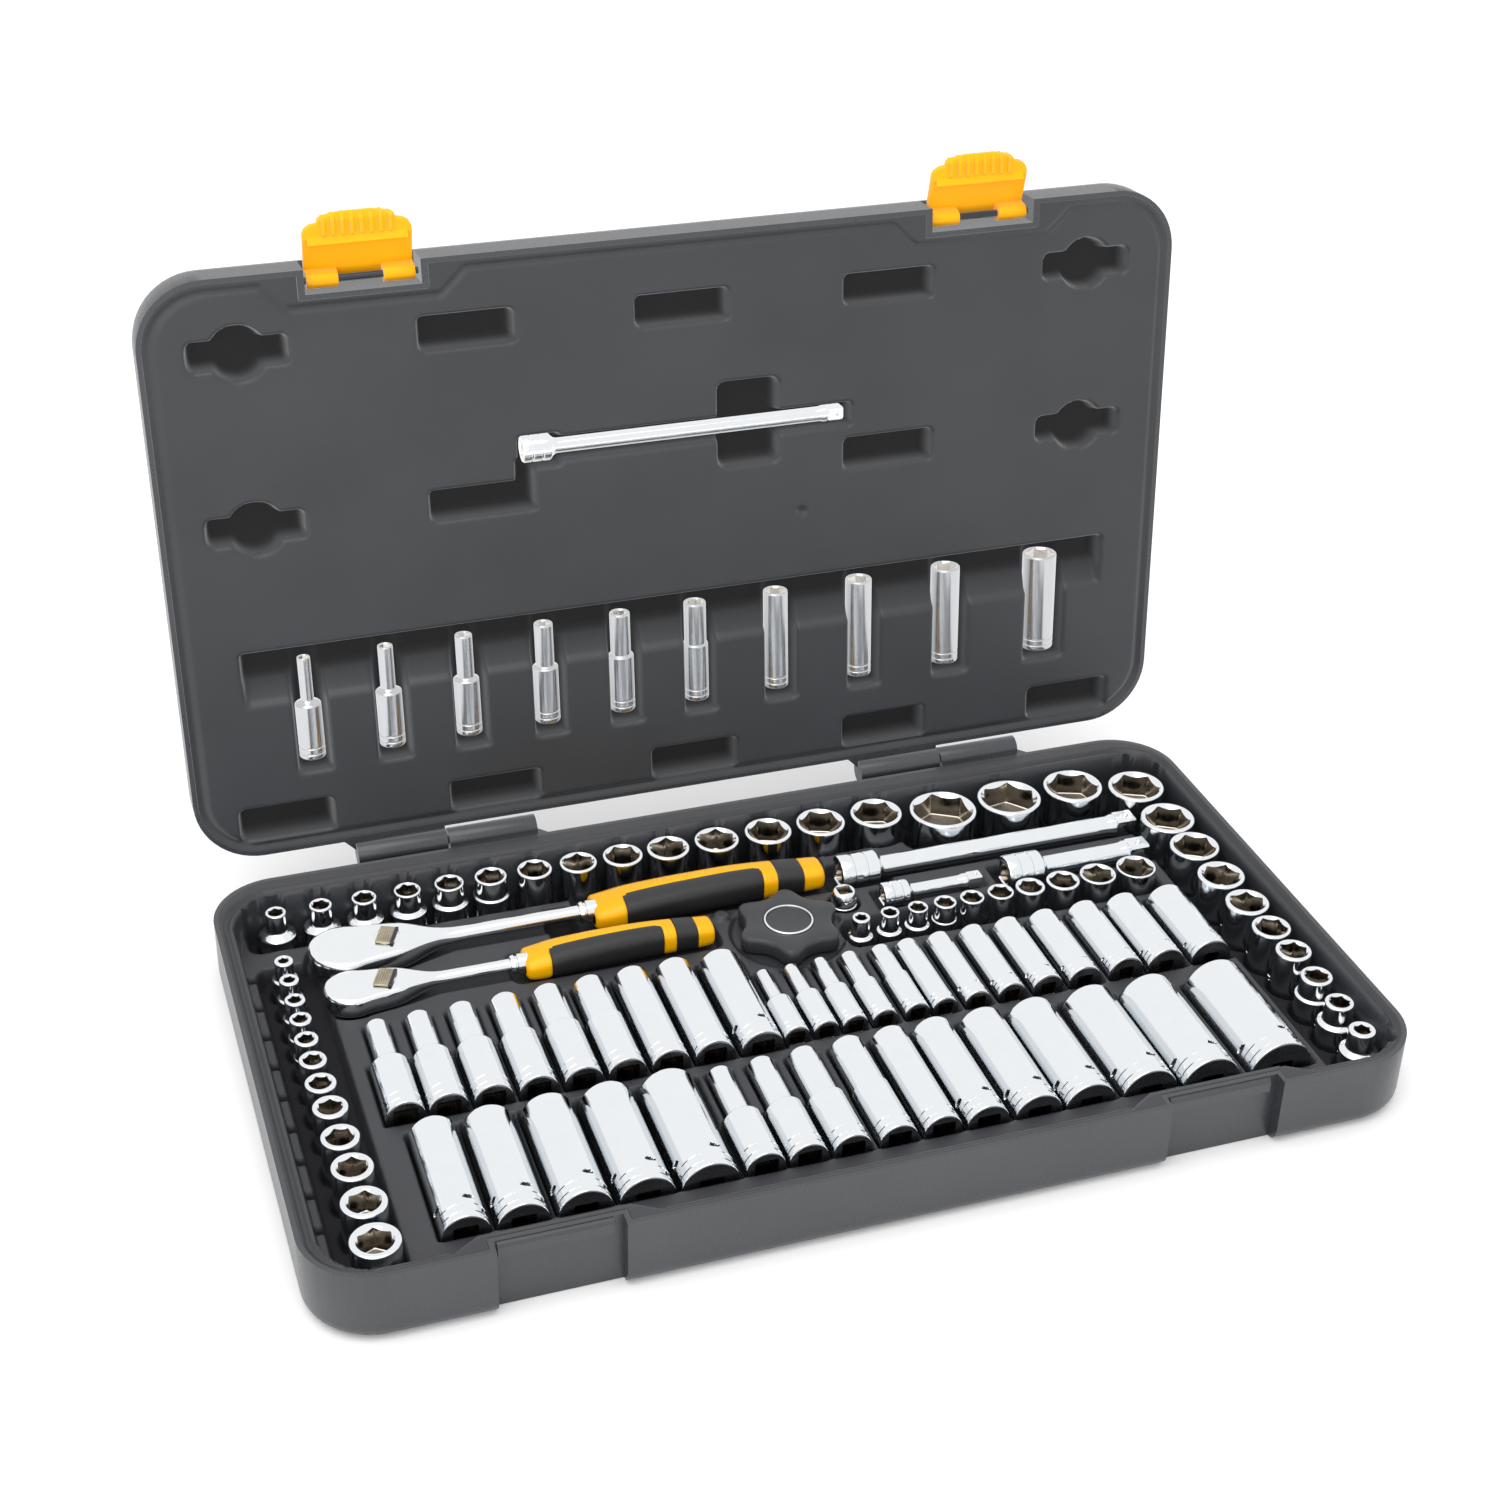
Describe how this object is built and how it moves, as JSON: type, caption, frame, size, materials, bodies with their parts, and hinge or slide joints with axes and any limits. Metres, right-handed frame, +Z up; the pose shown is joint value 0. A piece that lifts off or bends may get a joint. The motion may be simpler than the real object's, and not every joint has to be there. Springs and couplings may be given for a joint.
{
  "type": "socket wrench set in case",
  "caption": "Hinged moulded case with latches, ratchets, extensions and rows of standing and lying sockets in fitted pockets.",
  "frame": {"origin": "centre of the case's resting face on the bench", "axes": "+X to the right along the case's longest side, +Y to the hinges at the back, +Z up out of the open case"},
  "size_m": [0.48, 0.3346, 0.3329],
  "materials": {
    "case_skin": "blow-moulded charcoal plastic, fine satin grain",
    "tray": "moulded charcoal plastic, fine satin grain",
    "latch": "semi-gloss yellow moulding",
    "pin_steel": "drawn steel wire",
    "tool_chrome": "polished chrome plate",
    "socket_chrome": "polished chrome plate with turned grooves",
    "handle_yellow": "semi-gloss yellow moulding",
    "handle_grip": "soft dark overmould",
    "spinner_grey": "moulded grey finger wheel"
  },
  "bodies": {
    "base": {"base_shell": "case_skin", "base_tray": "tray", "hinge_pins": "pin_steel"},
    "lid": {"lid_shell": "case_skin", "lid_panel": "tray", "latch_pins": "pin_steel"},
    "latch_left": {"latch_left": "latch"},
    "latch_right": {"latch_right": "latch"},
    "ratchet_large": {"ratchet_large_body": "tool_chrome", "ratchet_large_sleeve": "handle_yellow", "ratchet_large_grip": "handle_grip"},
    "ratchet_large_anvil": {"ratchet_large_anvil": "tool_chrome"},
    "ratchet_large_lever": {"ratchet_large_lever": "tool_chrome"},
    "ratchet_small": {"ratchet_small_body": "tool_chrome", "ratchet_small_sleeve": "handle_yellow", "ratchet_small_grip": "handle_grip"},
    "ratchet_small_anvil": {"ratchet_small_anvil": "tool_chrome"},
    "ratchet_small_lever": {"ratchet_small_lever": "tool_chrome"},
    "extension_38_long": {"extension_38_long": "tool_chrome"},
    "extension_38_short": {"extension_38_short": "tool_chrome"},
    "extension_14_short": {"extension_14_short": "tool_chrome"},
    "extension_14_lid": {"extension_14_lid": "tool_chrome"},
    "drive_adapter": {"drive_adapter": "tool_chrome"},
    "spinner": {"spinner_disc": "spinner_grey", "spinner_insert": "tool_chrome"},
    "sockets_back": {"row_back_a": "socket_chrome", "row_back_b": "socket_chrome", "row_back_c": "socket_chrome", "row_back_d": "socket_chrome"},
    "sockets_right": {"row_right_a": "socket_chrome", "row_right_b": "socket_chrome", "row_right_c": "socket_chrome", "row_right_d": "socket_chrome"},
    "sockets_left": {"row_left_a": "socket_chrome", "row_left_b": "socket_chrome", "row_left_c": "socket_chrome"},
    "sockets_mid": {"row_mid_a": "socket_chrome", "row_mid_b": "socket_chrome", "row_mid_c": "socket_chrome"},
    "deep_metric": {"deep_metric_a": "socket_chrome", "deep_metric_b": "socket_chrome", "deep_metric_c": "socket_chrome"},
    "deep_quarter": {"deep_quarter_a": "socket_chrome", "deep_quarter_b": "socket_chrome", "deep_quarter_c": "socket_chrome", "deep_quarter_d": "socket_chrome"},
    "deep_wide": {"deep_wide_a": "socket_chrome", "deep_wide_b": "socket_chrome"},
    "deep_inch": {"deep_inch_a": "socket_chrome", "deep_inch_b": "socket_chrome", "deep_inch_c": "socket_chrome", "deep_inch_d": "socket_chrome"},
    "sockets_lid": {"lid_row_a": "socket_chrome", "lid_row_b": "socket_chrome", "lid_row_c": "socket_chrome"}
  },
  "joints": [
    {"name": "lid_hinge", "type": "hinge", "parent": "base", "child": "lid", "pos_m": [0, 0.1436, 0.0333], "axis": [-1, 0, 0], "range_deg": [-95.4, 0]},
    {"name": "latch_left_hinge", "type": "hinge", "parent": "lid", "child": "latch_left", "pos_m": [-0.1426, 0.17726, 0.30434], "axis": [-1, 0, 0], "range_deg": [-72, 0]},
    {"name": "latch_right_hinge", "type": "hinge", "parent": "lid", "child": "latch_right", "pos_m": [0.1426, 0.17726, 0.30434], "axis": [-1, 0, 0], "range_deg": [-72, 0]},
    {"name": "ratchet_large_lift", "type": "slide", "parent": "base", "child": "ratchet_large", "axis": [0, 0, 1], "range_m": [0, 0.035]},
    {"name": "ratchet_large_drive", "type": "hinge", "parent": "ratchet_large", "child": "ratchet_large_anvil", "pos_m": [-0.186, 0.0816, 0.012], "axis": [0, 0, 1], "continuous": true},
    {"name": "ratchet_large_reverse", "type": "hinge", "parent": "ratchet_large", "child": "ratchet_large_lever", "pos_m": [-0.16672, 0.0816, 0.026], "axis": [0, 0, 1], "range_deg": [0, 36]},
    {"name": "ratchet_small_lift", "type": "slide", "parent": "base", "child": "ratchet_small", "axis": [0, 0, 1], "range_m": [0, 0.035]},
    {"name": "ratchet_small_drive", "type": "hinge", "parent": "ratchet_small", "child": "ratchet_small_anvil", "pos_m": [-0.1882, 0.0523, 0.012], "axis": [0, 0, 1], "continuous": true},
    {"name": "ratchet_small_reverse", "type": "hinge", "parent": "ratchet_small", "child": "ratchet_small_lever", "pos_m": [-0.17344, 0.0523, 0.026], "axis": [0, 0, 1], "range_deg": [0, 36]},
    {"name": "extension_38_long_lift", "type": "slide", "parent": "base", "child": "extension_38_long", "axis": [0, 0, 1], "range_m": [0, 0.035]},
    {"name": "extension_38_short_lift", "type": "slide", "parent": "base", "child": "extension_38_short", "axis": [0, 0, 1], "range_m": [0, 0.035]},
    {"name": "extension_14_short_lift", "type": "slide", "parent": "base", "child": "extension_14_short", "axis": [0, 0, 1], "range_m": [0, 0.035]},
    {"name": "drive_adapter_lift", "type": "slide", "parent": "base", "child": "drive_adapter", "axis": [0, 0, 1], "range_m": [0, 0.035]},
    {"name": "spinner_lift", "type": "slide", "parent": "base", "child": "spinner", "axis": [0, 0, 1], "range_m": [0, 0.035]},
    {"name": "sockets_back_lift", "type": "slide", "parent": "base", "child": "sockets_back", "axis": [0, 0, 1], "range_m": [0, 0.04]},
    {"name": "sockets_right_lift", "type": "slide", "parent": "base", "child": "sockets_right", "axis": [0, 0, 1], "range_m": [0, 0.04]},
    {"name": "sockets_left_lift", "type": "slide", "parent": "base", "child": "sockets_left", "axis": [0, 0, 1], "range_m": [0, 0.04]},
    {"name": "sockets_mid_lift", "type": "slide", "parent": "base", "child": "sockets_mid", "axis": [0, 0, 1], "range_m": [0, 0.04]},
    {"name": "deep_metric_lift", "type": "slide", "parent": "base", "child": "deep_metric", "axis": [0, 0, 1], "range_m": [0, 0.035]},
    {"name": "deep_quarter_lift", "type": "slide", "parent": "base", "child": "deep_quarter", "axis": [0, 0, 1], "range_m": [0, 0.035]},
    {"name": "deep_wide_lift", "type": "slide", "parent": "base", "child": "deep_wide", "axis": [0, 0, 1], "range_m": [0, 0.035]},
    {"name": "deep_inch_lift", "type": "slide", "parent": "base", "child": "deep_inch", "axis": [0, 0, 1], "range_m": [0, 0.035]},
    {"name": "extension_14_lid_out", "type": "slide", "parent": "lid", "child": "extension_14_lid", "axis": [0, -0.9956, 0.0941], "range_m": [0, 0.024]},
    {"name": "sockets_lid_out", "type": "slide", "parent": "lid", "child": "sockets_lid", "axis": [0, -0.9956, 0.0941], "range_m": [0, 0.024]}
  ]
}
